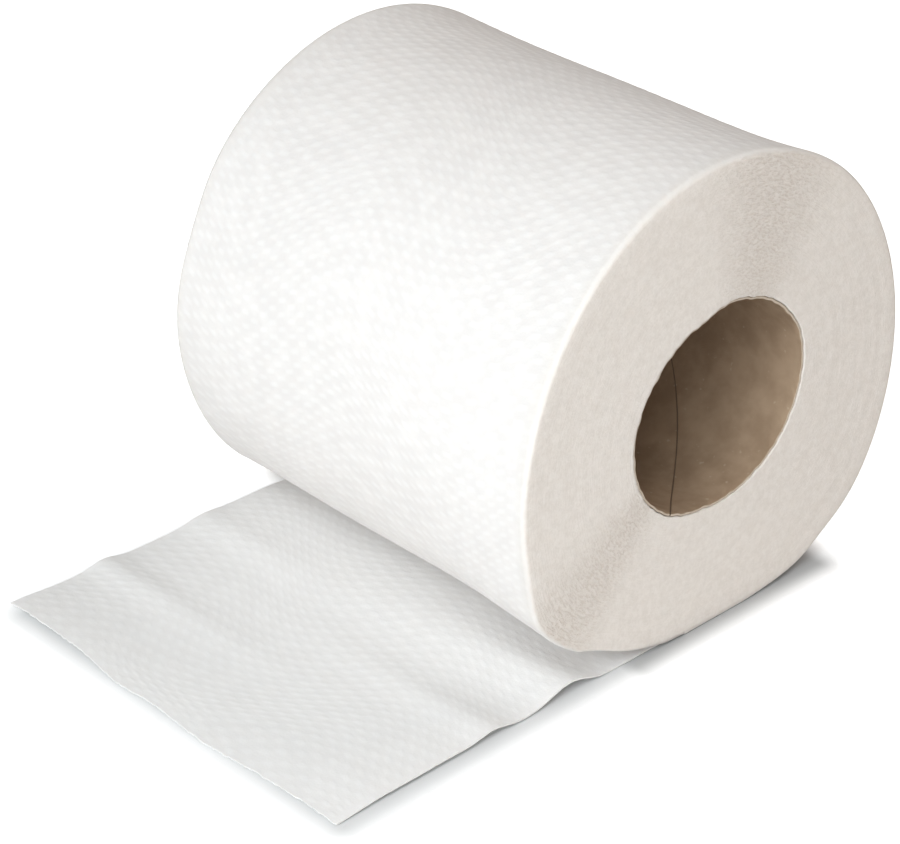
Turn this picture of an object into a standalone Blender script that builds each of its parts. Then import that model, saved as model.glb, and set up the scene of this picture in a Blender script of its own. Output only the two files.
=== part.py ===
# Toilet paper roll lying on its side, with its first sheet pulled out in front.
# X runs along the roll, -Y is where the loose sheet lies and +Z is up.
# The origin is on the floor, straight below the middle of the roll.
# Run with: blender --background --python part.py

import math

import bmesh
import bpy
from mathutils import Vector

# Roll, in metres. Its section is a leaning oval, flattened a little at the lower front
# and pressed on a flat spot below. It grows a little towards the far end.
ROLL_LENGTH = 0.098
ROLL_HALF_WIDTH = 0.0517
ROLL_HALF_HEIGHT = 0.0543
ROLL_LEAN = math.radians(14.75)
ROLL_OFFSET = 0.0010
SIDE_FACING = math.radians(-121.6)
SIDE_DEPTH = 0.0019
FLAT_SINK = 0.0068
PRESS_SOFTNESS = 0.0068
PRESS_DEPTH = 0.0044
FAR_GROWTH = 0.008
FAR_OFFSET = 0.0009
RIM_ROUND = 0.0012

# Paper. Each ridge on the ends stands for about ten turns of the winding.
SHEET_THICKNESS = 0.0005
STEP_FADE = 0.6
TURN_COUNT = 9
TURN_RELIEF = 0.0006

# Core tube, an oval squeezed a little by the weight on it
TUBE_HALF_WIDTH = 0.0231
TUBE_HALF_HEIGHT = 0.0207
TUBE_LEAN = math.radians(14.7)
TUBE_OFFSET = 0.0010
TUBE_WALL = 0.0006
TUBE_HEIGHT = 0.0474
TUBE_CLEARANCE = 0.0002
TUBE_INSET = 0.0006
SEAM_PITCH = 0.116
SEAM_WIDTH = 0.0008
SEAM_DEPTH = 0.0002
SEAM_START = math.radians(-137.5)

# Loose sheet
LOOSE_LENGTH = 0.0888
LOOSE_BOW = 0.0012
WAVE_HEIGHT = 0.0013
WAVE_LENGTH = 0.026
WAVE_START = 0.026

# Mesh fineness
ROLL_STEPS = 72
ROLL_COLUMNS = 12
RIM_STEPS = 2
LOOSE_ROWS = 15
TUBE_SIDES = 40
TUBE_ROWS = 12

# Slots that mark a new vertex with its place in the wall's section, and its lap
PLACE = "place"
LAP = "lap"


def clear_scene():
    for item in list(bpy.data.objects):
        bpy.data.objects.remove(item, do_unlink=True)


def make_material(name, colour, roughness):
    material = bpy.data.materials.new(name)
    material.use_nodes = True
    shader = material.node_tree.nodes["Principled BSDF"]
    shader.inputs["Base Color"].default_value = (*colour, 1.0)
    shader.inputs["Roughness"].default_value = roughness
    shader.inputs["Metallic"].default_value = 0.0
    return material


def finish_object(name, mesh_data, material, sharp_degrees):
    # turns a finished bmesh into a smooth-shaded object with its material
    bmesh.ops.recalc_face_normals(mesh_data, faces=mesh_data.faces)
    mesh = bpy.data.meshes.new(name)
    mesh_data.to_mesh(mesh)
    mesh_data.free()
    mesh.materials.append(material)
    mesh.shade_smooth()
    mesh.set_sharp_from_angle(angle=math.radians(sharp_degrees))
    item = bpy.data.objects.new(name, mesh)
    bpy.context.scene.collection.objects.link(item)
    return item


def oval_point(half_width, half_height, lean, angle):
    # a point of a leaning oval around its own centre
    across = half_width * math.cos(angle)
    up = half_height * math.sin(angle)
    return Vector((
        0.0,
        across * math.cos(lean) - up * math.sin(lean),
        across * math.sin(lean) + up * math.cos(lean),
    ))


def roll_reach(facing):
    # how far the leaning oval reaches from its centre towards one side
    across = ROLL_HALF_WIDTH * math.cos(facing - ROLL_LEAN)
    up = ROLL_HALF_HEIGHT * math.sin(facing - ROLL_LEAN)
    return math.hypot(across, up)


def leaving_angle():
    # where the last turn leaves the flat spot towards -Y
    reach = roll_reach(math.pi / 2)
    rise = ROLL_HALF_WIDTH * math.sin(ROLL_LEAN)
    stand = ROLL_HALF_HEIGHT * math.cos(ROLL_LEAN)
    pressed_from = PRESS_SOFTNESS ** 2 / PRESS_DEPTH - PRESS_DEPTH
    share = min(1.0, (reach - FLAT_SINK + pressed_from) / reach)
    return math.asin(share) - math.pi - math.atan2(rise, stand)


def settle(height):
    # presses what would lie below the floor flat, with a soft way up on both sides
    rounded = (height + math.hypot(height, 2 * PRESS_SOFTNESS)) / 2
    return max(0.0, rounded - PRESS_DEPTH)


def pressed_oval(angle):
    # a point of the roll's section
    point = oval_point(ROLL_HALF_WIDTH, ROLL_HALF_HEIGHT, ROLL_LEAN, angle)
    facing = Vector((0.0, math.cos(SIDE_FACING), math.sin(SIDE_FACING)))
    over = point.dot(facing) - roll_reach(SIDE_FACING) + SIDE_DEPTH
    point -= facing * max(0.0, over)
    height = point.z + roll_reach(math.pi / 2) - FLAT_SINK
    return Vector((0.0, point.y + ROLL_OFFSET, settle(height)))


def roll_outline(turn, inset):
    # the outer turn, counted once around from where it leaves: front, top, back and flat spot
    angle = leaving_angle() - math.tau * turn
    along = pressed_oval(angle + 0.01) - pressed_oval(angle - 0.01)
    outward = Vector((0.0, along.z, -along.y)).normalized()
    return pressed_oval(angle) - outward * inset


def bore_outline(turn):
    # the hole that the tube sits in, with its running gap
    grow = TUBE_WALL + TUBE_CLEARANCE
    angle = leaving_angle() - math.tau * turn
    point = oval_point(TUBE_HALF_WIDTH + grow, TUBE_HALF_HEIGHT + grow, TUBE_LEAN, angle)
    return point + Vector((0.0, TUBE_OFFSET, TUBE_HEIGHT))


def roll_point(x, share, step, turn):
    # share runs from the bore at 0 to the outside at 1; step is how much of one sheet is missing
    inset = SHEET_THICKNESS * step * max(0.0, 1.0 - turn / STEP_FADE)
    far = 0.5 - x / ROLL_LENGTH
    outer = roll_outline(turn, inset) * (1.0 + FAR_GROWTH * far)
    outer.y += FAR_OFFSET * far
    point = bore_outline(turn).lerp(outer, share)
    return Vector((x, point.y, point.z))


def rim_share():
    # the round of the rim as a share of the wall
    wall = ROLL_HALF_WIDTH - TUBE_HALF_WIDTH - TUBE_WALL - TUBE_CLEARANCE
    return RIM_ROUND / wall


def face_rings(turn):
    # valleys and ridges of the winding: each moves out by one turn while it goes once around
    rings = []
    for index in range(-1, 2 * TURN_COUNT):
        place = min(float(TURN_COUNT), max(0.0, index / 2 + turn))
        near_edge = min(1.0, 2 * place, 2 * (TURN_COUNT - place))
        depth = TURN_RELIEF * near_edge if index % 2 == 0 else 0.0
        rings.append((depth, place / TURN_COUNT * (1.0 - rim_share())))
    return rings


def wall_section(turn):
    # the wall cut across once: (x, share, step) from the bore over one end to the other
    half = ROLL_LENGTH / 2
    end = [(half, 0.0, 0.0)]
    end += [(half - depth, share, 0.0) for depth, share in face_rings(turn)]
    for count in range(RIM_STEPS):
        angle = math.pi / 2 * count / RIM_STEPS
        x = half - RIM_ROUND * (1.0 - math.cos(angle))
        share = 1.0 - rim_share() * (1.0 - math.sin(angle))
        end.append((x, share, 0.0))
    straight = half - RIM_ROUND
    columns = range(ROLL_COLUMNS + 1)
    outside = [(straight - 2 * straight * count / ROLL_COLUMNS, 1.0, 1.0) for count in columns]
    other_end = [(-x, share, step) for x, share, step in reversed(end)]
    return end + outside + other_end


def is_outside(place):
    first = len(wall_section(0.0)) // 2 - ROLL_COLUMNS // 2
    return first <= place <= first + ROLL_COLUMNS


def wind_wall(mesh_data):
    # carries the wall's section once around the tube, step by step
    place_slot = mesh_data.verts.layers.int[PLACE]
    lap_slot = mesh_data.verts.layers.int[LAP]
    section = wall_section(0.0)
    first = [mesh_data.verts.new(roll_point(*point, 0.0)) for point in section]
    for place, vertex in enumerate(first):
        vertex[place_slot] = place
    pairs = zip(first, first[1:] + first[:1])
    edges = [mesh_data.edges.new(pair) for pair in pairs]
    for count in range(1, ROLL_STEPS + 1):
        turn = count / ROLL_STEPS
        section = wall_section(turn)
        grown = bmesh.ops.extrude_edge_only(mesh_data, edges=edges)["geom"]
        edges = [item for item in grown if isinstance(item, bmesh.types.BMEdge)]
        for vertex in [item for item in grown if isinstance(item, bmesh.types.BMVert)]:
            vertex.co = roll_point(*section[vertex[place_slot]], turn)
            vertex[lap_slot] = 1 if count == ROLL_STEPS else 0


def close_step(mesh_data):
    # joins the first lap to the last, and fills the step of one sheet between them
    bmesh.ops.remove_doubles(mesh_data, verts=mesh_data.verts, dist=1e-6)
    open_edges = [edge for edge in mesh_data.edges if edge.is_boundary]
    place_slot = mesh_data.verts.layers.int[PLACE]
    chains = [
        edge for edge in open_edges
        if all(is_outside(vertex[place_slot]) for vertex in edge.verts)
    ]
    strip = bmesh.ops.bridge_loops(mesh_data, edges=chains)["faces"]
    ends = [edge for edge in mesh_data.edges if edge.is_boundary]
    bmesh.ops.holes_fill(mesh_data, edges=ends, sides=3)
    return strip


def loose_lift(x, distance):
    # gentle waves that rise from the floor, more at both long edges than in the middle
    start = min(1.0, max(0.0, (distance - WAVE_START) / WAVE_LENGTH))
    edge = 0.35 + 0.65 * (2 * x / ROLL_LENGTH) ** 2
    phase = math.tau * distance / WAVE_LENGTH + 4.0 * x / ROLL_LENGTH
    return WAVE_HEIGHT * start * edge * (0.5 - 0.5 * math.cos(phase))


def pull_sheet(mesh_data, strip):
    # pulls the step out along the floor, row by row, as the loose first sheet
    lap_slot = mesh_data.verts.layers.int[LAP]
    leave = roll_outline(0.0, 0.0)
    faces = strip
    for row in range(1, LOOSE_ROWS + 1):
        share = row / LOOSE_ROWS
        grown = bmesh.ops.extrude_face_region(mesh_data, geom=faces)["geom"]
        bmesh.ops.delete(mesh_data, geom=faces, context="FACES")
        faces = [item for item in grown if isinstance(item, bmesh.types.BMFace)]
        for vertex in [item for item in grown if isinstance(item, bmesh.types.BMVert)]:
            across = 2 * vertex.co.x / ROLL_LENGTH
            length = LOOSE_LENGTH + LOOSE_BOW * (1.0 - across ** 2)
            distance = length * share
            upper = SHEET_THICKNESS if vertex[lap_slot] == 0 else 0.0
            vertex.co.y = leave.y - distance
            vertex.co.z = loose_lift(vertex.co.x, distance) + upper


def build_tissue_roll():
    # the wound web of paper and its loose sheet, in one piece
    mesh_data = bmesh.new()
    mesh_data.verts.layers.int.new(PLACE)
    mesh_data.verts.layers.int.new(LAP)
    wind_wall(mesh_data)
    strip = close_step(mesh_data)
    pull_sheet(mesh_data, strip)
    for name in (PLACE, LAP):
        mesh_data.verts.layers.int.remove(mesh_data.verts.layers.int[name])
    paper = make_material("tissue_paper", (0.82, 0.80, 0.78), 0.95)
    return finish_object("tissue_roll", mesh_data, paper, 30.0)


def tube_ring(radius_out, groove):
    # points around one skin of the tube, with the groove where two edges of a ply meet
    mean = (TUBE_HALF_WIDTH + TUBE_HALF_HEIGHT) / 2
    half_gap = SEAM_WIDTH / 2 / mean
    plain = TUBE_SIDES - 4
    points = [
        (-half_gap, radius_out), (-half_gap, radius_out + groove),
        (half_gap, radius_out + groove), (half_gap, radius_out),
    ]
    for count in range(1, plain + 1):
        share = count / (plain + 1)
        points.append((half_gap + (math.tau - 2 * half_gap) * share, radius_out))
    return points


def half_turned(points):
    # the same ring with its groove on the far side, listed from the same side as before
    middle = len(points) // 2
    return [(angle + math.pi, grow) for angle, grow in points[middle:] + points[:middle]]


def tube_point(x, angle, grow):
    # the ply's edges run around the tube as a helix, so a ring turns as it moves along X
    twist = SEAM_START - math.tau * (x - ROLL_LENGTH / 2) / SEAM_PITCH
    point = oval_point(TUBE_HALF_WIDTH + grow, TUBE_HALF_HEIGHT + grow, TUBE_LEAN, angle + twist)
    return point + Vector((x, TUBE_OFFSET, TUBE_HEIGHT))


def extrude_ring(mesh_data, ring):
    # one skin of the tube, extruded from end to end in twisting rows
    slot = mesh_data.verts.layers.int[PLACE]
    half = ROLL_LENGTH / 2 - TUBE_INSET
    start = [mesh_data.verts.new(tube_point(-half, *point)) for point in ring]
    for place, vertex in enumerate(start):
        vertex[slot] = place
    edges = [mesh_data.edges.new(pair) for pair in zip(start, start[1:] + start[:1])]
    for row in range(1, TUBE_ROWS + 1):
        x = -half + 2 * half * row / TUBE_ROWS
        grown = bmesh.ops.extrude_edge_only(mesh_data, edges=edges)["geom"]
        edges = [item for item in grown if isinstance(item, bmesh.types.BMEdge)]
        verts = [item for item in grown if isinstance(item, bmesh.types.BMVert)]
        for vertex in verts:
            vertex.co = tube_point(x, *ring[vertex[slot]])
    return start, sorted(verts, key=lambda vertex: vertex[slot])


def close_end(mesh_data, inner, outer):
    # the cut edge of the board between the two skins
    pairs = list(zip(inner, outer))
    for one, other in zip(pairs, pairs[1:] + pairs[:1]):
        mesh_data.faces.new((one[0], other[0], other[1], one[1]))


def build_core_tube():
    # a tube of two plies of paperboard, each wound as a helix with its edges butted
    mesh_data = bmesh.new()
    mesh_data.verts.layers.int.new(PLACE)
    inner_start, inner_end = extrude_ring(mesh_data, tube_ring(0.0, SEAM_DEPTH))
    outer_start, outer_end = extrude_ring(mesh_data, half_turned(tube_ring(TUBE_WALL, -SEAM_DEPTH)))
    close_end(mesh_data, inner_start, outer_start)
    close_end(mesh_data, inner_end, outer_end)
    mesh_data.verts.layers.int.remove(mesh_data.verts.layers.int[PLACE])
    board = make_material("core_paperboard", (0.30, 0.21, 0.15), 0.9)
    return finish_object("core_tube", mesh_data, board, 35.0)


def main():
    clear_scene()
    build_tissue_roll()
    build_core_tube()


main()
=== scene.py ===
import math

import bpy
import numpy as np
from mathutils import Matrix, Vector


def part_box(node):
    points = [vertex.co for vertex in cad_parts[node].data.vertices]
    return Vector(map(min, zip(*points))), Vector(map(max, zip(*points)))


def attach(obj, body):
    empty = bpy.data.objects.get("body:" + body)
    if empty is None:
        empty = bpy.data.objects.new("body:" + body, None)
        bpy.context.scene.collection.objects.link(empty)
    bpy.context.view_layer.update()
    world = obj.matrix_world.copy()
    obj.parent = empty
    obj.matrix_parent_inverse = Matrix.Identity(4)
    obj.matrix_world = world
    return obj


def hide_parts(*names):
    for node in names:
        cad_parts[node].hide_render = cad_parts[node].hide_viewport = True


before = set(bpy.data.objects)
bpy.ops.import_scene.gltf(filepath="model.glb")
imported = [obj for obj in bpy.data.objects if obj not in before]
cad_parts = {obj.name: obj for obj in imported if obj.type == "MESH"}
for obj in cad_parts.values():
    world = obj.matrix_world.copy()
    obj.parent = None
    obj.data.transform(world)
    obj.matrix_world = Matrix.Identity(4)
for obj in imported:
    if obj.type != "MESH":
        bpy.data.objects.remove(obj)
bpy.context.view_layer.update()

# Toilet paper roll on its side with the first sheet pulled out in front.
# X runs along the roll, -Y is where the loose sheet lies, +Z is up, all in metres.

boxLow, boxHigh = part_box("tissue_roll")
rollLength = boxHigh.x - boxLow.x

# the roll's section: a leaning oval, flattened at the lower front and on a flat spot below
rollShape = {
    "halfWidth": 0.0517,
    "halfHeight": 0.0543,
    "lean": math.radians(14.75),
    "offset": 0.0010,        # its middle, along Y
    "sideFacing": math.radians(-121.6),      # the flattening at the lower front faces this way
    "sideDepth": 0.0019,
    "flatSink": 0.0068,      # how deep the oval would reach into the floor
    "pressSoftness": 0.0068, # how softly it rounds off towards the flat spot
    "pressDepth": 0.0044,
    "farGrowth": 0.008,      # the far end is a little larger and further back
    "farOffset": 0.0009,
    "flare": 0.0004,         # the near rim stands out a little
    "flareLength": 0.005,
    # uneven places of the near end: turn, how far out, half width in turns, reach along X
    "nearBulges": [(0.150, 0.0013, 0.025, 0.030), (0.090, -0.0009, 0.026, 0.020),
                   (0.590, 0.0003, 0.050, 0.008), (0.865, -0.0009, 0.028, 0.030),
                   (0.930, 0.0004, 0.020, 0.030)],
    "farBulges": [(0.290, -0.0010, 0.035, 0.020)],
    "waist": 0.0006,         # the middle is this much slimmer than the ends
    "rimRound": 0.0012,
    "pressedRim": 0.35,      # share of the rounding that is left where the rim is pressed flat
    "pressedUpTo": 0.006,    # height below which it is
    "stepFade": 0.6,         # share of the outer turn over which the sheet's step dies out
    "facingStep": 0.01,      # points this far to either side, as an angle, tell which way it faces
    "tableSteps": 4000,      # even steps along the outer turn are looked up among so many
}

# the tube's section, squeezed a little by the weight on it
tubeShape = {
    "halfWidth": 0.0231,
    "halfHeight": 0.0207,
    "lean": math.radians(14.7),
    "offset": 0.0010,
    "wall": 0.0005,
    "height": 0.0474,        # its middle, above the floor
    "clearance": 0.0001,     # between the tube and the paper
    "inset": 0.0002,         # how far its ends lie behind those of the roll
    "seamPitch": 0.116,      # one turn of the seam takes this length
    "seamWidth": 0.0005,
    "seamDepth": 0.0002,
    "seamStart": math.radians(-137.5),
    # uneven places of the near mouth: angle, how far out, half width, reach along X
    "dents": [(1.48, 0.0002, 0.20, 0.006), (1.85, -0.0005, 0.18, 0.008), (0.68, -0.0006, 0.25, 0.006),
              (1.15, -0.0003, 0.25, 0.006), (3.05, 0.0003, 0.25, 0.005), (-0.75, 0.0003, 0.30, 0.006),
              (-1.75, -0.0005, 0.30, 0.006)],
    "ragged": 0.00006,       # fine wobble of both mouths: height, reach, and waves around with their starts
    "raggedReach": 0.0016,
    "raggedWaves": [(19, 0.0), (34, 1.0), (53, 2.0)],
    "paperFrom": 0.022,      # past this distance from the axis a dent dies out in the paper
    "paperReach": 0.004,
}

# the paper and its embossing: small raised dots in staggered rows that sway
paper = {
    "sheet": 0.0005,
    "dotHeight": 0.000035,
    "periodsAcross": 18,     # each period holds two columns of dots, half a step apart
    "periodsAround": 117,
    "stepsAcross": 8,
    "stepsAround": 4,
    "swayAlong": 0.0034,     # rows of dots: how far they sway, one sway's width and its start
    "swayWidth": 0.057,
    "alongStart": 2.4,
    "drift": 0.7,            # their start drifts as the sheet runs on, once in so many sways
    "driftSways": 1.7,
    "swayAcross": 0.0042,    # columns of dots: how far they sway, one sway's length and its start
    "swayLength": 0.066,
    "acrossStart": 2.2,
}


def smooth(value, low, high):
    # 0 below low, 1 above high, and a soft ramp between
    share = np.clip((value - low) / (high - low), 0.0, 1.0)
    return share * share * (3.0 - 2.0 * share)


def ovalPoints(halfWidth, halfHeight, lean, angle):
    across = halfWidth * np.cos(angle)
    up = halfHeight * np.sin(angle)
    y = across * math.cos(lean) - up * math.sin(lean)
    z = across * math.sin(lean) + up * math.cos(lean)
    return y, z


def rollReach(facing):
    # how far the leaning oval reaches from its centre towards one side
    across = rollShape["halfWidth"] * math.cos(facing - rollShape["lean"])
    up = rollShape["halfHeight"] * math.sin(facing - rollShape["lean"])
    return math.hypot(across, up)


def leavingAngle():
    # where the last turn leaves the flat spot towards -Y
    reach = rollReach(math.pi / 2)
    rise = rollShape["halfWidth"] * math.sin(rollShape["lean"])
    stand = rollShape["halfHeight"] * math.cos(rollShape["lean"])
    pressedFrom = rollShape["pressSoftness"] ** 2 / rollShape["pressDepth"] - rollShape["pressDepth"]
    share = min(1.0, (reach - rollShape["flatSink"] + pressedFrom) / reach)
    return math.asin(share) - math.pi - math.atan2(rise, stand)


def pressedOval(angle):
    # a point of the section, flattened at the lower front and pressed on the floor
    y, z = ovalPoints(rollShape["halfWidth"], rollShape["halfHeight"], rollShape["lean"], angle)
    facing = rollShape["sideFacing"]
    over = y * math.cos(facing) + z * math.sin(facing) - rollReach(facing) + rollShape["sideDepth"]
    over = np.maximum(0.0, over)
    height = z - over * math.sin(facing) + rollReach(math.pi / 2) - rollShape["flatSink"]
    rounded = (height + np.hypot(height, 2 * rollShape["pressSoftness"])) / 2
    settled = np.maximum(0.0, rounded - rollShape["pressDepth"])
    return y - over * math.cos(facing) + rollShape["offset"], settled


def rollOutline(turn):
    # the outer turn, counted once around from where it leaves: front, top, back and flat spot
    angle = leavingAngle() - math.tau * turn
    y, z = pressedOval(angle)
    nextY, nextZ = pressedOval(angle + rollShape["facingStep"])
    lastY, lastZ = pressedOval(angle - rollShape["facingStep"])
    outY, outZ = nextZ - lastZ, lastY - nextY
    size = np.hypot(outY, outZ)
    return y, z, outY / size, outZ / size


def boreOutline(turn):
    grow = tubeShape["wall"] + tubeShape["clearance"]
    angle = leavingAngle() - math.tau * turn
    y, z = ovalPoints(tubeShape["halfWidth"] + grow, tubeShape["halfHeight"] + grow,
                      tubeShape["lean"], angle)
    return y + tubeShape["offset"], z + tubeShape["height"]


def dentedMouth(x, y, z):
    # pushes the tube and the paper around it in or out, close to the near end
    fromY, fromZ = y - tubeShape["offset"], z - tubeShape["height"]
    size = np.hypot(fromY, fromZ)
    around = np.arctan2(fromZ, fromY)
    push = np.zeros_like(size)
    for angle, out, halfWidth, reach in tubeShape["dents"]:
        away = np.angle(np.exp(1j * (around - angle)))
        fromEnd = np.clip(rollLength / 2 - x, 0.0, None)
        push += out * np.exp(-((away / halfWidth) ** 2) - (fromEnd / reach) ** 2)
    wobble = sum(np.sin(waves * around + start) for waves, start in tubeShape["raggedWaves"])
    fromMouth = np.clip(rollLength / 2 - np.abs(x), 0.0, None)
    push += tubeShape["ragged"] * wobble * np.exp(-((fromMouth / tubeShape["raggedReach"]) ** 2))
    push = push * np.exp(-np.clip(size - tubeShape["paperFrom"], 0.0, None) / tubeShape["paperReach"])
    return y + fromY / size * push, z + fromZ / size * push


# even steps along the outer turn, as turns
turnTable = np.linspace(0.0, 1.0, rollShape["tableSteps"] + 1)
tableY, tableZ = rollOutline(turnTable)[:2]
stepLengths = np.hypot(np.diff(tableY), np.diff(tableZ))
lengthTable = np.concatenate([[0.0], np.cumsum(stepLengths)])
turnLength = float(lengthTable[-1])
leaveY = float(tableY[0])


def swayOfRows(x, along):
    # how far the rows of dots sway along the sheet, in metres
    drift = paper["drift"] * np.sin(math.tau * along / (paper["driftSways"] * paper["swayLength"]))
    start = paper["alongStart"] + drift
    return paper["swayAlong"] * np.sin(math.tau * x / paper["swayWidth"] + start)


def swayOfColumns(x, along, width):
    # how far the columns sway across the sheet; its edges stay straight
    inner = np.clip(1.0 - (2.0 * x / width) ** 2, 0.0, 1.0)
    sway = np.sin(math.tau * along / paper["swayLength"] + paper["acrossStart"])
    return paper["swayAcross"] * inner * sway


def embossedDots(across, around):
    # raised dots where whole columns cross whole rows, and halfway between both
    return np.cos(math.tau * across) * np.cos(math.tau * around) * paper["dotHeight"]


def addGrid(name, columns, rows):
    # a flat unit grid; returns the object and each vertex's column and row
    bpy.ops.object.select_all(action="DESELECT")
    bpy.ops.mesh.primitive_grid_add(x_subdivisions=columns, y_subdivisions=rows, size=1.0)
    grid = bpy.context.active_object
    grid.name = name
    grid.data.name = name
    places = np.zeros(len(grid.data.vertices) * 3)
    grid.data.vertices.foreach_get("co", places)
    places = places.reshape(-1, 3)
    column = np.rint((places[:, 0] + 0.5) * columns).astype(int)
    row = np.rint((places[:, 1] + 0.5) * rows).astype(int)
    return grid, column, row


def bendGrid(grid, x, y, z):
    # puts every vertex in its place on the real form
    places = np.column_stack([x, y, z]).astype(np.float32)
    grid.data.vertices.foreach_set("co", places.ravel())
    grid.data.update()


def paintVertices(grid, name, values):
    attribute = grid.data.attributes.new(name, "FLOAT", "POINT")
    attribute.data.foreach_set("value", np.asarray(values, np.float32))


def layUv(grid, name, u, v):
    # a UV map that holds places on the sheet, so that a pattern follows the surface
    layer = grid.data.uv_layers.new(name=name)
    corner = np.zeros(len(grid.data.loops), int)
    grid.data.loops.foreach_get("vertex_index", corner)
    places = np.column_stack([u[corner], v[corner]])
    layer.data.foreach_set("uv", places.astype(np.float32).ravel())


def closeSeams(piece, distance):
    # welds the rows that meet and turns every face outwards
    bpy.ops.object.select_all(action="DESELECT")
    piece.select_set(True)
    bpy.context.view_layer.objects.active = piece
    bpy.ops.object.mode_set(mode="EDIT")
    bpy.ops.mesh.select_all(action="SELECT")
    bpy.ops.mesh.remove_doubles(threshold=distance)
    bpy.ops.mesh.normals_make_consistent(inside=False)
    bpy.ops.object.mode_set(mode="OBJECT")
    bpy.ops.object.shade_smooth()


def wallPath():
    # the wall's section as columns: x, share of the wall, and how much of a column is outside
    half = rollLength / 2
    wall = rollShape["halfWidth"] - tubeShape["halfWidth"] - tubeShape["wall"]
    rimShare = rollShape["rimRound"] / wall
    path = [(half, 0.0, 0.0), (half, woundRoll["mouthShare"], 0.0)]
    for ring in range(1, woundRoll["faceRings"] + 1):
        path.append((half, ring / woundRoll["faceRings"] * (1.0 - rimShare), 0.0))
    for count in range(1, woundRoll["rimSteps"]):
        angle = math.pi / 2 * count / woundRoll["rimSteps"]
        x = half - rollShape["rimRound"] * (1.0 - math.cos(angle))
        path.append((x, 1.0 - rimShare * (1.0 - math.sin(angle)), count / woundRoll["rimSteps"]))
    straight = half - rollShape["rimRound"]
    steps = paper["periodsAcross"] * paper["stepsAcross"]
    outside = [(straight - 2 * straight * count / steps, 1.0, 1.0) for count in range(steps + 1)]
    otherEnd = [(-x, share, out) for x, share, out in reversed(path)]
    bore = [(half - back, 0.0, 0.0) for back in woundRoll["boreSteps"]]
    return np.array(path + outside + otherEnd + bore), len(path)


# the wound roll: everything but the loose sheet
woundRoll = {
    "faceRings": 25,
    "mouthShare": 0.010,     # one more ring this close to the mouth, as a share of the wall
    "rimSteps": 4,
    # the bore's rings, back from the near end, crowded where the mouth is uneven
    "boreSteps": (0.049, 0.020, 0.010, 0.006, 0.003, 0.0015, 0.0003, 0.0),
    "ridges": 9,             # soft ridges of the winding, each for about ten turns
    "ridgeDepth": 0.00002,
    "unevenTurns": 0.00004,
    "softness": 0.00022,     # slow swell of the outside, and its waves along X, around, and their start
    "swells": [(95.0, 4.0, 0.0), (41.0, -3.0, 2.0)],
    "seamBlend": 0.015,      # the swaying dies out this close to the sheet's step
    "pressedUpTo": 0.004,    # nothing stands out fully below this height, where the floor presses
    "reliefFrom": 0.0004,    # and no dots at all below this one
    "dotsFrom": 0.7,         # shares of the rim's rounding at which dots and swaying columns start
    "swayFrom": 0.9,
    "swellFrom": 0.7,        # share of the wall at which the slow swell starts
    "smoothRim": (0.0012, 0.0032),   # dots start between these distances from an end
    "rimTint": (0.0008, 0.0034),
    "mouthFade": 0.08,       # shares of the wall over which the relief of an end dies out
    "rimFade": (0.04, 0.14),
    "cutReach": 0.6,         # the look of a cut end goes this far around its rim
    "weld": 0.00002,
    "seed": 11,
}


def swellOfOutside(x, turn):
    # the slow, soft unevenness of the outside
    swells = [np.sin(x * perMetre + waves * math.tau * turn + start)
              for perMetre, waves, start in woundRoll["swells"]]
    return woundRoll["softness"] * sum(swells)


def depthOfEnds(path, column, turn):
    # the relief of a cut end: a slow spiral of ridges, and turns that stand a little in or out
    share, outside = path[column].T[1:]
    random = np.random.default_rng(woundRoll["seed"])
    ragged = random.normal(0.0, woundRoll["unevenTurns"], len(path))
    ragged[0] = ragged[-1] = 0.0
    onFace = (outside == 0.0) & (share > 0.0)
    ridge = np.cos(math.tau * (woundRoll["ridges"] * share - turn))
    fade = smooth(share, 0.0, woundRoll["mouthFade"]) * smooth(1.0 - share, *woundRoll["rimFade"])
    return (woundRoll["ridgeDepth"] * (1.0 - ridge) + ragged[column]) * fade * onFace


def unevenGirth(fromRim, turn):
    # the near rim flares, the middle is slimmer, and both ends have bulges and dents
    uneven = rollShape["flare"] * np.exp(-fromRim / rollShape["flareLength"])
    uneven = uneven - rollShape["waist"] * (1.0 - (1.0 - 2 * fromRim / rollLength) ** 2)
    ends = ((rollShape["nearBulges"], fromRim), (rollShape["farBulges"], rollLength - fromRim))
    for bulges, away in ends:
        for place, out, halfWidth, reach in bulges:
            uneven += out * np.exp(-(((turn - place) / halfWidth) ** 2) - (away / reach) ** 2)
    return uneven


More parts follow.
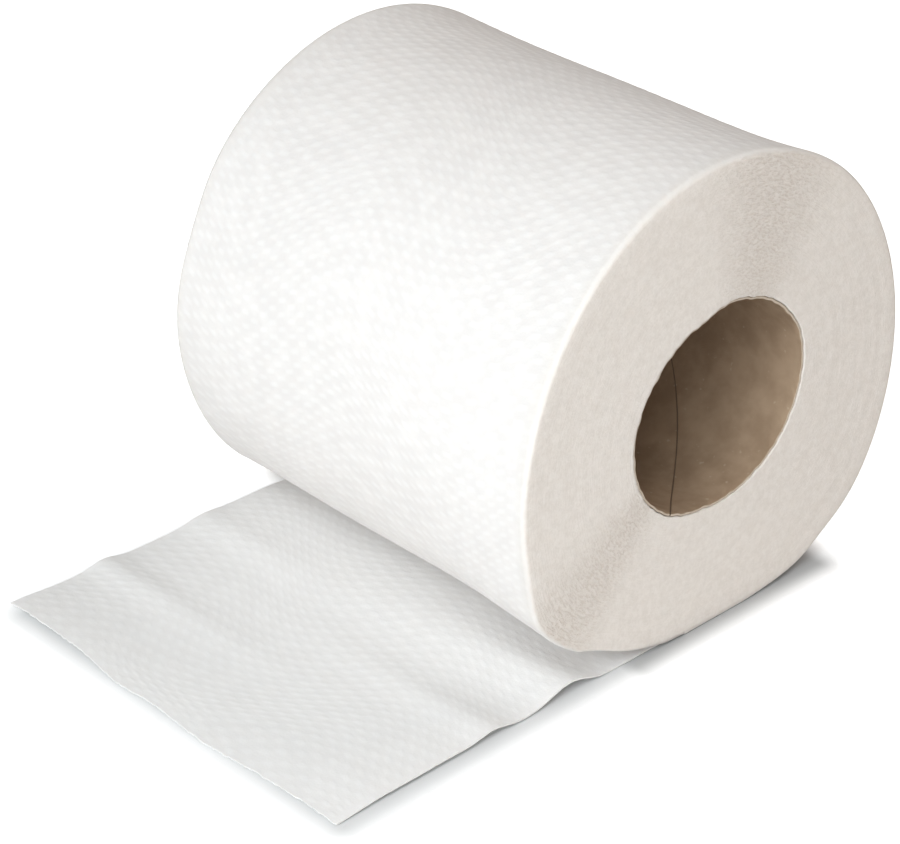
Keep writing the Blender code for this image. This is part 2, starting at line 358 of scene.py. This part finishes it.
def buildWoundRoll():
    path, firstOutside = wallPath()
    rows = paper["periodsAround"] * paper["stepsAround"] + 1
    roll, column, row = addGrid("woundTissue", len(path) - 1, rows)
    x, share, outside = path[column].T
    # row 0 and row 1 are the two edges of the sheet's step, and the rest go once around
    along = np.clip(row - 1, 0, None) / (rows - 1) * turnLength
    blend = woundRoll["seamBlend"]
    nearSeam = smooth(along, 0.0, blend) * smooth(turnLength - along, 0.0, blend)
    swayed = along + swayOfRows(x, along) * nearSeam
    turn = np.interp(swayed, lengthTable, turnTable)
    outY, outZ, normalY, normalZ = rollOutline(turn)
    boreY, boreZ = boreOutline(turn)

    # the outside: one sheet lower just after the step, embossed, and softly uneven
    step = paper["sheet"] * outside * np.clip(1.0 - turn / rollShape["stepFade"], 0.0, 1.0)
    step[row == 0] = 0.0
    clearOfFloor = smooth(outZ, woundRoll["reliefFrom"], woundRoll["pressedUpTo"])
    across = (column - firstOutside) / paper["stepsAcross"]
    around = (row - 1) / paper["stepsAround"]
    fromEnd = rollLength / 2 - np.abs(x)
    dots = embossedDots(across, around) * smooth(outside, woundRoll["dotsFrom"], 1.0)
    dots = dots * smooth(fromEnd, *woundRoll["smoothRim"])
    swell = swellOfOutside(x, turn) * smooth(share, woundRoll["swellFrom"], 1.0)
    lift = (dots + swell) * clearOfFloor - step
    sway = swayOfColumns(x, along, rollLength) * nearSeam
    shiftedX = x + sway * smooth(outside, woundRoll["swayFrom"], 1.0)
    shiftedX = shiftedX - np.sign(x) * depthOfEnds(path, column, turn)

    # near the floor the rim is pressed to a sharper edge
    pressed = (1.0 - rollShape["pressedRim"]) * (1.0 - smooth(outZ, 0.0, rollShape["pressedUpTo"]))
    inRim = (outside > 0.0) & (fromEnd < rollShape["rimRound"] + woundRoll["weld"])
    shiftedX = shiftedX + np.sign(x) * fromEnd * pressed * inRim
    share = share + (1.0 - share) * pressed * inRim

    # the near end is uneven, the middle slimmer, and the far end larger
    fromRim = np.clip(rollLength / 2 - x, 0.0, None)
    lift = lift + unevenGirth(fromRim, turn) * smooth(outZ, 0.0, woundRoll["pressedUpTo"])
    far = fromRim / rollLength
    outY = (outY + normalY * lift) * (1.0 + rollShape["farGrowth"] * far) + rollShape["farOffset"] * far
    outZ = np.maximum(0.0, (outZ + normalZ * lift) * (1.0 + rollShape["farGrowth"] * far))
    y = boreY + (outY - boreY) * share
    z = boreZ + (outZ - boreZ) * share
    y, z = dentedMouth(x, y, z)
    bendGrid(roll, shiftedX, y, z)
    paintVertices(roll, "cutEnd", 1.0 - smooth(outside, 0.0, woundRoll["cutReach"]))
    paintVertices(roll, "rim", 1.0 - smooth(fromEnd, *woundRoll["rimTint"]))
    layUv(roll, "dots", across, around)
    layUv(roll, "turns", turn, share)
    closeSeams(roll, woundRoll["weld"])
    return roll


# the loose first sheet, waved along both edges and torn off at its perforation
looseSheet = {
    "left": -0.0481,
    "right": 0.0478,
    "end": -0.0942,
    "overlap": 0.0016,
    "dotShare": 0.8,         # its dots are pressed flatter than those of the roll
    "thickness": 0.0003,
    "tear": 0.00016,
    # bulges of the torn end: where across, how far out, half width
    "endBulges": [(-0.0130, 0.0015, 0.009), (0.0120, 0.0016, 0.014), (-0.0500, 0.0006, 0.006)],
    # waves of each long edge: where along, how high, half length
    "leftWaves": [(-0.0940, 0.0008, 0.008), (-0.0725, 0.0012, 0.004), (-0.0470, 0.0011, 0.005),
                  (-0.0380, 0.0006, 0.007), (-0.0290, 0.0005, 0.006)],
    "rightWaves": [(-0.0840, 0.0006, 0.008), (-0.0680, 0.0009, 0.013), (-0.0560, 0.0012, 0.0045),
                   (-0.0365, 0.0025, 0.0065)],
    "waveSlant": 0.004,      # a wave runs this much askew across the sheet
    "waveFade": 2.6,         # the higher, the closer to its edge a wave dies out
    "waveStart": (0.010, 0.024),     # no waves closer to the roll than this, and full ones from there
    "flatStart": (0.004, 0.010),     # dots, then swaying rows, start this far from the roll
    "flatEnd": 0.12,         # share at the torn end over which the rows straighten
    "rowStart": 0.021,       # where the rows' sway begins, so that it follows on from the roll's
    "lightStart": (0.002, 0.014),    # light comes through the sheet beyond this
    "creaseAngle": math.radians(50.0),
    "seed": 5,
}


def bumps(place, entries):
    # the sum of some soft bumps, each with its middle, height and half length
    return sum(height * np.exp(-(((place - middle) / half) ** 2)) for middle, height, half in entries)


def sheetLift(x, y, distance):
    # waves that stand highest at one edge and die out across the sheet
    side = np.clip((x - looseSheet["left"]) / (looseSheet["right"] - looseSheet["left"]), 0.0, 1.0)
    slant, fade = looseSheet["waveSlant"], looseSheet["waveFade"]
    right = bumps(y + slant * (1.0 - side), looseSheet["rightWaves"]) * side ** fade
    left = bumps(y - slant * side, looseSheet["leftWaves"]) * (1.0 - side) ** fade
    return (right + left) * smooth(distance, *looseSheet["waveStart"])


def buildLooseSheet():
    columns = paper["periodsAcross"] * paper["stepsAcross"]
    width = looseSheet["right"] - looseSheet["left"]
    meanLength = leaveY - looseSheet["end"]
    rows = int(round(meanLength / turnLength * paper["periodsAround"])) * paper["stepsAround"]
    sheet, column, row = addGrid("looseSheet", columns, rows)
    x = looseSheet["left"] + width * column / columns
    random = np.random.default_rng(looseSheet["seed"])
    tear = random.uniform(-1.0, 1.0, columns + 1) * looseSheet["tear"]
    share = row / rows
    length = leaveY - looseSheet["end"] + bumps(x, looseSheet["endBulges"])
    distance = share * length - looseSheet["overlap"] * (1.0 - share)
    distance = distance + tear[column] * (row == rows)
    dotStart, swayStart = looseSheet["flatStart"]
    inner = smooth(distance, 0.0, swayStart) * smooth(1.0 - share, 0.0, looseSheet["flatEnd"])
    y = leaveY - distance - swayOfRows(x, distance + looseSheet["rowStart"]) * inner
    shiftedX = x + swayOfColumns(x, distance, width) * inner
    across, around = column / paper["stepsAcross"], row / paper["stepsAround"]
    dots = embossedDots(across, around) * looseSheet["dotShare"] * smooth(distance, 0.0, dotStart)
    z = looseSheet["thickness"] + dots + sheetLift(shiftedX, y, distance)
    bendGrid(sheet, shiftedX, y, z)
    layUv(sheet, "dots", across, around)
    layUv(sheet, "turns", distance / turnLength, np.ones_like(x))
    paintVertices(sheet, "loose", smooth(distance, *looseSheet["lightStart"]))
    if sheet.data.polygons[0].normal.z < 0:
        bpy.ops.object.mode_set(mode="EDIT")
        bpy.ops.mesh.select_all(action="SELECT")
        bpy.ops.mesh.flip_normals()
        bpy.ops.object.mode_set(mode="OBJECT")
    body = sheet.modifiers.new("thickness", "SOLIDIFY")
    body.thickness = looseSheet["thickness"]
    body.offset = -1.0
    bpy.ops.object.modifier_apply(modifier=body.name)
    bpy.ops.object.shade_smooth_by_angle(angle=looseSheet["creaseAngle"])
    return sheet


# the paperboard tube, wound from two plies with butted edges
coreTube = {
    "rows": 224,
    "innerColumns": 60,
    "outerColumns": 36,
    "edgeRound": 0.00012,
    "fray": 0.00012,         # uneven wobble of the cut edges, as waves around and where each starts
    "frayWaves": [(7, 0.0), (17, 1.0), (31, 2.0)],
    # the rows at the butted edges, in widths of the gap between them
    "seamRows": (-0.9, -0.5, -0.35, 0.0, 0.35, 0.5, 0.9),
    "grooveSide": (0.3, 0.5),        # where its side starts and ends, in the same widths
    "weld": 0.00001,
    "creaseAngle": math.radians(45.0),
}


def frayedEdge(angle):
    # how far the cut edge stands out at an angle
    wobble = sum(np.sin(waves * angle + start) for waves, start in coreTube["frayWaves"])
    return coreTube["fray"] * wobble / len(coreTube["frayWaves"])


def buildCoreTube():
    half = rollLength / 2 - tubeShape["inset"]
    wall = tubeShape["wall"]
    edge = coreTube["edgeRound"]
    inner, outer = coreTube["innerColumns"], coreTube["outerColumns"]
    # around the wall's section: x, distance out from the inner skin, and whether it is a cut edge
    path = [(half - edge, 0.0, 0.0), (half, edge, 1.0), (half, wall - edge, 1.0), (half - edge, wall, 0.0)]
    for count in range(1, outer):
        path.append(((half - edge) * (1.0 - 2.0 * count / outer), wall, 0.0))
    path += [(-half + edge, wall, 0.0), (-half, wall - edge, 1.0)]
    path += [(-half, edge, 1.0), (-half + edge, 0.0, 0.0)]
    for count in range(1, inner + 1):
        path.append(((half - edge) * (2.0 * count / inner - 1.0), 0.0, 0.0))
    path = np.array(path)
    # rows crowd together at the butted edges and are even elsewhere
    mean = (tubeShape["halfWidth"] + tubeShape["halfHeight"]) / 2
    seamRows = np.array(coreTube["seamRows"]) * tubeShape["seamWidth"] / mean
    otherRows = np.linspace(seamRows[-1], math.tau + seamRows[0], coreTube["rows"] - len(seamRows) + 2)
    angles = np.concatenate([seamRows, otherRows[1:]])
    tube, column, row = addGrid("coreTube", len(path) - 1, len(angles) - 1)
    x, out, cut = path[column].T
    angle = angles[row]
    fromSeam = np.minimum(np.abs(angle), np.abs(angle - math.tau)) * mean
    seam = tubeShape["seamWidth"]
    bottom, top = coreTube["grooveSide"]
    groove = tubeShape["seamDepth"] * (1.0 - smooth(fromSeam, bottom * seam, top * seam))
    out = out + groove * (out < wall / 2)
    twist = tubeShape["seamStart"] - math.tau * (x - rollLength / 2) / tubeShape["seamPitch"]
    halfWidth = tubeShape["halfWidth"] + out
    halfHeight = tubeShape["halfHeight"] + out
    y, z = ovalPoints(halfWidth, halfHeight, tubeShape["lean"], angle + twist)
    y, z = dentedMouth(x, y + tubeShape["offset"], z + tubeShape["height"])
    bendGrid(tube, x + np.sign(x) * frayedEdge(angle + twist) * cut, y, z)
    paintVertices(tube, "cutEdge", cut)
    layUv(tube, "board", fromSeam, x)
    closeSeams(tube, coreTube["weld"])
    bpy.ops.object.shade_smooth_by_angle(angle=coreTube["creaseAngle"])
    return tube


def newMaterial(name, finish):
    # a material with its shader's even values set; returns it, its node tree and the shader
    material = bpy.data.materials.new(name)
    material.use_nodes = True
    shader = material.node_tree.nodes["Principled BSDF"]
    for socket, value in finish.items():
        shader.inputs[socket].default_value = value
    return material, material.node_tree, shader


def node(tree, kind, **settings):
    made = tree.nodes.new(kind)
    for key, value in settings.items():
        setattr(made, key, value)
    return made


def attribute(tree, name):
    return node(tree, "ShaderNodeAttribute", attribute_name=name).outputs["Fac"]


def uvPlace(tree, name):
    return node(tree, "ShaderNodeUVMap", uv_map=name).outputs["UV"]


def objectPlace(tree):
    return node(tree, "ShaderNodeTexCoord").outputs["Object"]


def split(tree, vector):
    made = node(tree, "ShaderNodeSeparateXYZ")
    tree.links.new(vector, made.inputs[0])
    return made.outputs


def stretched(tree, vector, scale):
    made = node(tree, "ShaderNodeMapping")
    made.inputs["Scale"].default_value = scale
    tree.links.new(vector, made.inputs["Vector"])
    return made.outputs[0]


def mathNode(tree, operation, first, second=None):
    made = node(tree, "ShaderNodeMath", operation=operation)
    for socket, value in zip(made.inputs, (first, second)):
        if value is None:
            continue
        if isinstance(value, (int, float)):
            socket.default_value = value
        else:
            tree.links.new(value, socket)
    return made.outputs[0]


def plus(tree, first, second):
    return mathNode(tree, "ADD", first, second)


def times(tree, first, second):
    return mathNode(tree, "MULTIPLY", first, second)


def mixColour(tree, share, first, second):
    made = node(tree, "ShaderNodeMix", data_type="RGBA")
    tree.links.new(share, made.inputs[0])
    for socket, value in ((made.inputs[6], first), (made.inputs[7], second)):
        if isinstance(value, tuple):
            socket.default_value = (*value, 1.0)
        else:
            tree.links.new(value, socket)
    return made.outputs[2]


def noise(tree, vector, scale, detail, roughness):
    made = node(tree, "ShaderNodeTexNoise")
    made.inputs["Scale"].default_value = scale
    made.inputs["Detail"].default_value = detail
    made.inputs["Roughness"].default_value = roughness
    tree.links.new(vector, made.inputs["Vector"])
    return made.outputs["Fac"]


def ramp(tree, value, low, high):
    made = node(tree, "ShaderNodeMapRange", interpolation_type="SMOOTHSTEP")
    tree.links.new(value, made.inputs["Value"])
    made.inputs["From Min"].default_value = low
    made.inputs["From Max"].default_value = high
    return made.outputs["Result"]


def relief(tree, height, distance, strength, below=None):
    made = node(tree, "ShaderNodeBump")
    made.inputs["Distance"].default_value = distance
    made.inputs["Strength"].default_value = strength
    tree.links.new(height, made.inputs["Height"])
    if below is not None:
        tree.links.new(below, made.inputs["Normal"])
    return made.outputs["Normal"]


def seenDirectly(tree):
    # 1 for what the camera sees, also through something clear or in a mirror
    path = node(tree, "ShaderNodeLightPath").outputs
    seen = mathNode(tree, "MAXIMUM", path["Is Camera Ray"], path["Is Transmission Ray"])
    return mathNode(tree, "MAXIMUM", seen, path["Is Glossy Ray"])


# tissue: white embossed sheets, warmer where they are cut
tissue = {
    "sheetColour": (0.822, 0.790, 0.768),
    "sheetShade": (0.780, 0.747, 0.726),
    # painted highlight on each raised dot
    "paintedDotHighlight": (0.970, 0.960, 0.945),
    "looseColour": (0.920, 0.908, 0.895),    # light comes through where one sheet lies on the floor
    "rimColour": (0.760, 0.722, 0.680),
    "cutColour": (0.875, 0.812, 0.755),
    "cutShade": (0.800, 0.734, 0.674),
    # painted shade for the crinkled sectors and the creases of a cut end
    "paintedCreaseShade": (0.64, 0.54, 0.46),
    # how strongly each is mixed in
    "dotShare": 0.2,
    "looseShare": 0.45,
    "rimShare": 0.55,
    "paintedCreaseShadeShare": 0.16,
    "paintedDashShadeShare": 0.42,
    "turnShare": 0.18,       # of the cut ends' unevenness: the fine turns, and blotches for the rest
    # noises: scale, detail, roughness
    "fibres": (2600.0, 4.0, 0.7),
    "grain": (1500.0, 3.0, 0.6),
    "clouds": (240.0, 3.0, 0.55),
    "blotches": (620.0, 6.0, 0.78),
    "turns": (1.0, 3.0, 0.65),
    "dashes": (1.0, 3.0, 0.7),
    # how often the fine turns and the dashes change, around and across the wall
    "turnScale": (46.0, 92.0, 1.0),
    "dashScale": (190.0, 62.0, 1.0),
    # where each pattern starts and is full
    "dotRamp": (-0.2, 1.0),
    "cloudRamp": (0.35, 0.7),
    "cutRamp": (0.36, 0.64),
    "dashRamp": (0.48, 0.60),
    "sectors": [(0.522, 0.0816), (0.133, 0.0528)],    # crinkled ones: middle and reach, as turns
    # bump: distance and strength
    "dotRelief": (0.00005, 0.5),
    "turnRelief": (0.00012, 0.5),
    "blotchRelief": (0.00024, 0.5),
    "dashRelief": (-0.0003, 0.5),
    "fibreRelief": (0.00006, 0.6),
    "finish": {
        "Roughness": 0.95,
        "Specular IOR Level": 0.2,
        "Sheen Weight": 0.12,
        "Sheen Roughness": 0.6,
        "Subsurface Weight": 0.12,
        "Subsurface Radius": (0.0016, 0.0013, 0.0011),
        "Subsurface Scale": 1.0,
    },
}


def dotPattern(tree):
    # dots, in step with the raised ones of the mesh
    lattice = split(tree, uvPlace(tree, "dots"))
    waves = [mathNode(tree, "COSINE", times(tree, lattice[axis], math.tau)) for axis in (0, 1)]
    return ramp(tree, times(tree, waves[0], waves[1]), *tissue["dotRamp"])


def crinkledSectors(tree, turn):
    # the two sectors of a cut end where the turns are crinkled
    sectors = []
    for middle, reach in tissue["sectors"]:
        away = mathNode(tree, "ABSOLUTE", mathNode(tree, "SUBTRACT", turn, middle))
        sectors.append(ramp(tree, away, reach, 0.0))
    return mathNode(tree, "MAXIMUM", sectors[0], sectors[1])


def tissueMaterial():
    material, tree, shader = newMaterial("tissuePaper", tissue["finish"])
    place = objectPlace(tree)
    windings = uvPlace(tree, "turns")
    cutEnd = attribute(tree, "cutEnd")
    dots = dotPattern(tree)
    turns = noise(tree, stretched(tree, windings, tissue["turnScale"]), *tissue["turns"])
    blotches = noise(tree, place, *tissue["blotches"])
    crinkled = crinkledSectors(tree, split(tree, windings)[0])
    dashes = noise(tree, stretched(tree, windings, tissue["dashScale"]), *tissue["dashes"])
    dashes = times(tree, ramp(tree, dashes, *tissue["dashRamp"]), crinkled)
    dashes = times(tree, dashes, cutEnd)

    # the sheet: cloudy, lighter where it is loose and light comes through, a painted highlight on each dot,
    # warmer at the rims
    clouds = ramp(tree, noise(tree, place, *tissue["clouds"]), *tissue["cloudRamp"])
    sheet = mixColour(tree, clouds, tissue["sheetShade"], tissue["sheetColour"])
    for share, amount, colour in ((attribute(tree, "loose"), "looseShare", "looseColour"),
                                  (dots, "dotShare", "paintedDotHighlight"),
                                  (attribute(tree, "rim"), "rimShare", "rimColour")):
        sheet = mixColour(tree, times(tree, share, tissue[amount]), sheet, tissue[colour])

    # the cut ends: fine turns broken up by tangled fibres, and painted shade in the crinkled sectors and
    # their creases
    uneven = plus(tree, times(tree, turns, tissue["turnShare"]),
                  times(tree, blotches, 1.0 - tissue["turnShare"]))
    cut = mixColour(tree, ramp(tree, uneven, *tissue["cutRamp"]), tissue["cutShade"], tissue["cutColour"])
    for share, amount in ((crinkled, "paintedCreaseShadeShare"), (dashes, "paintedDashShadeShare")):
        cut = mixColour(tree, times(tree, share, tissue[amount]), cut, tissue["paintedCreaseShade"])
    tree.links.new(mixColour(tree, cutEnd, sheet, cut), shader.inputs["Base Color"])

    onSheet = mathNode(tree, "SUBTRACT", 1.0, cutEnd)
    fibres = plus(tree, noise(tree, place, *tissue["fibres"]), noise(tree, place, *tissue["grain"]))
    surface = relief(tree, times(tree, dots, onSheet), *tissue["dotRelief"])
    surface = relief(tree, times(tree, turns, cutEnd), *tissue["turnRelief"], surface)
    surface = relief(tree, times(tree, blotches, cutEnd), *tissue["blotchRelief"], surface)
    surface = relief(tree, dashes, *tissue["dashRelief"], surface)
    surface = relief(tree, fibres, *tissue["fibreRelief"], surface)
    tree.links.new(surface, shader.inputs["Normal"])
    return material


# paperboard: brown recycled board
board = {
    "colour": (0.385, 0.275, 0.184),
    "shade": (0.300, 0.207, 0.134),
    "fleckColour": (0.50, 0.40, 0.29),
    "edgeColour": (0.66, 0.57, 0.47),
    "seamColour": (0.17, 0.12, 0.08),
    "fleckShare": 0.5,
    "edgeShare": 0.8,
    # noises: scale, detail, roughness
    "fibres": (1900.0, 4.0, 0.7),
    "clouds": (150.0, 3.0, 0.6),
    "flecks": (900.0, 1.0, 0.5),
    "cloudRamp": (0.3, 0.7),
    "fleckRamp": (0.70, 0.80),
    "seamRamp": (0.6, 0.2),  # in widths of the seam
    "fibreRelief": (0.0001, 0.5),
    "finish": {"Roughness": 0.85, "Specular IOR Level": 0.3},
}


def boardMaterial():
    material, tree, shader = newMaterial("corePaperboard", board["finish"])
    place = objectPlace(tree)
    outer, inner = board["seamRamp"]
    fromSeam = split(tree, uvPlace(tree, "board"))[0]
    atSeam = ramp(tree, fromSeam, outer * tubeShape["seamWidth"], inner * tubeShape["seamWidth"])
    flecks = ramp(tree, noise(tree, place, *board["flecks"]), *board["fleckRamp"])
    clouds = ramp(tree, noise(tree, place, *board["clouds"]), *board["cloudRamp"])
    tone = mixColour(tree, clouds, board["shade"], board["colour"])
    tone = mixColour(tree, times(tree, flecks, board["fleckShare"]), tone, board["fleckColour"])
    cutEdge = times(tree, attribute(tree, "cutEdge"), board["edgeShare"])
    tone = mixColour(tree, cutEdge, tone, board["edgeColour"])
    tree.links.new(mixColour(tree, atSeam, tone, board["seamColour"]), shader.inputs["Base Color"])
    fibres = noise(tree, place, *board["fibres"])
    tree.links.new(relief(tree, fibres, *board["fibreRelief"]), shader.inputs["Normal"])
    return material


# floor, light and camera
studio = {
    "floorSize": 3.0,
    "floorDrop": 0.0001,     # the floor lies this much below the object
    "floorColour": (0.84, 0.84, 0.84),
    "floorFinish": {"Roughness": 0.9, "Specular IOR Level": 0.0,
                    "Emission Color": (1.0, 1.0, 1.0, 1.0)},
    # a glow that only the camera sees makes the lit floor white; it starts in two steps,
    # whose strengths and distances from the object are these
    "floorGlow": (0.25, 0.65),
    "glowFade": (0.0055, 0.0100),
    "glowOverlap": 0.7,      # the second step starts before the first has ended
    # where the roll and the sheet lie: middle, half size, and the share of its colour that the
    # floor keeps right beside it, as a painted contact shadow
    "paintedShadowSpots": [((0.0, 0.0060), (0.0492, 0.0260), 0.58),
              ((0.0022, -0.0496), (0.0458, 0.0434), 0.86)],
    "worldStrength": 0.25,
    "worldColour": (1.0, 0.91, 0.83),
    # soft lamps: place, aim, size, power, colour
    "key": ((0.30, -0.50, 0.50), (0.0, -0.02, 0.03), 0.42, 3.20, (0.925, 1.0, 1.040)),
    "front": ((0.10, -0.64, 0.30), (0.0, 0.0, 0.02), 0.40, 1.45, (0.925, 1.0, 1.045)),
    "back": ((0.20, 0.60, 0.70), (0.0, 0.0, 0.05), 0.50, 1.55, (1.0, 0.915, 0.865)),
    "fill": ((1.10, -0.80, 0.40), (0.0, 0.0, 0.05), 0.80, 2.5, (1.0, 0.985, 0.965)),
    # camera: where it stands around and above its target, and what it looks at
    "azimuth": 46.671,
    "elevation": 29.318,
    "distance": 0.541,
    "target": (-0.00487, -0.01750, 0.02938),
    "lens": 109.70,
    "sensorWidth": 36.0,
}


def distanceOff(tree, parts, middle, halfSize):
    # how far a place on the floor is from a rectangle
    squares = []
    for axis in (0, 1):
        fromMiddle = mathNode(tree, "ABSOLUTE", mathNode(tree, "SUBTRACT", parts[axis], middle[axis]))
        past = mathNode(tree, "MAXIMUM", mathNode(tree, "SUBTRACT", fromMiddle, halfSize[axis]), 0.0)
        squares.append(times(tree, past, past))
    return mathNode(tree, "SQRT", plus(tree, squares[0], squares[1]))


def floorMaterial():
    material, tree, shader = newMaterial("paleFloor", studio["floorFinish"])
    parts = split(tree, objectPlace(tree))
    near, far = studio["glowFade"]
    distances, paintedShadowTones = [], []
    # painted contact shadow: right beside where the roll and the sheet lie the floor's colour is darker, and
    # it comes back over the first fade
    for middle, halfSize, keptInPaintedShadow in studio["paintedShadowSpots"]:
        distance = distanceOff(tree, parts, middle, halfSize)
        distances.append(distance)
        paintedShadowTones.append(plus(tree, keptInPaintedShadow, times(tree, ramp(tree, distance, 0.0, near), 1.0 - keptInPaintedShadow)))
    tone = mathNode(tree, "MINIMUM", paintedShadowTones[0], paintedShadowTones[1])
    # the floor's colour, darkened by the painted contact shadow
    tree.links.new(mixColour(tree, tone, (0.0, 0.0, 0.0), studio["floorColour"]),
                   shader.inputs["Base Color"])
    nearest = mathNode(tree, "MINIMUM", distances[0], distances[1])
    first, second = studio["floorGlow"]
    glow = plus(tree, times(tree, ramp(tree, nearest, 0.0, near), first),
                times(tree, ramp(tree, nearest, studio["glowOverlap"] * near, far), second))
    tree.links.new(times(tree, seenDirectly(tree), glow), shader.inputs["Emission Strength"])
    return material


def buildFloor():
    bpy.ops.object.select_all(action="DESELECT")
    bpy.ops.mesh.primitive_plane_add(size=studio["floorSize"], location=(0.0, 0.0, -studio["floorDrop"]))
    floor = bpy.context.active_object
    floor.name = "floor"
    floor.data.materials.append(floorMaterial())


def buildWorld():
    world = bpy.data.worlds.new("studio")
    bpy.context.scene.world = world
    world.use_nodes = True
    tree = world.node_tree
    background = tree.nodes["Background"]
    seen = seenDirectly(tree)
    tree.links.new(mixColour(tree, seen, studio["worldColour"], (1.0, 1.0, 1.0)), background.inputs["Color"])
    strength = plus(tree, times(tree, seen, 1.0 - studio["worldStrength"]), studio["worldStrength"])
    tree.links.new(strength, background.inputs["Strength"])


def buildLamps():
    for name in ("key", "front", "back", "fill"):
        place, aim, size, power, colour = studio[name]
        bpy.ops.object.light_add(type="AREA", location=place)
        lamp = bpy.context.active_object
        lamp.name = name + "Light"
        lamp.data.size = size
        lamp.data.energy = power
        lamp.data.color = colour
        lamp.rotation_euler = (Vector(aim) - Vector(place)).to_track_quat("-Z", "Y").to_euler()


def buildCamera():
    around, up = math.radians(studio["azimuth"]), math.radians(studio["elevation"])
    back = Vector((math.sin(around) * math.cos(up), -math.cos(around) * math.cos(up), math.sin(up)))
    bpy.ops.object.camera_add(location=Vector(studio["target"]) + back * studio["distance"])
    camera = bpy.context.active_object
    camera.rotation_euler = (-back).to_track_quat("-Z", "Y").to_euler()
    camera.data.sensor_width = studio["sensorWidth"]
    camera.data.sensor_fit = "HORIZONTAL"
    camera.data.lens = studio["lens"]
    bpy.context.scene.camera = camera


print("camera, floor and light")
buildCamera()
buildFloor()
buildWorld()
buildLamps()
bpy.context.scene.view_settings.view_transform = "Standard"

print("wound roll")
tissuePaper = tissueMaterial()
wound = buildWoundRoll()
wound.data.materials.append(tissuePaper)
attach(wound, "root")
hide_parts("tissue_roll")

print("loose sheet")
loose = buildLooseSheet()
loose.data.materials.append(tissuePaper)
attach(loose, "root")
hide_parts("tissue_roll")

print("core tube")
tube = buildCoreTube()
tube.data.materials.append(boardMaterial())
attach(tube, "root")
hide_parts("core_tube")
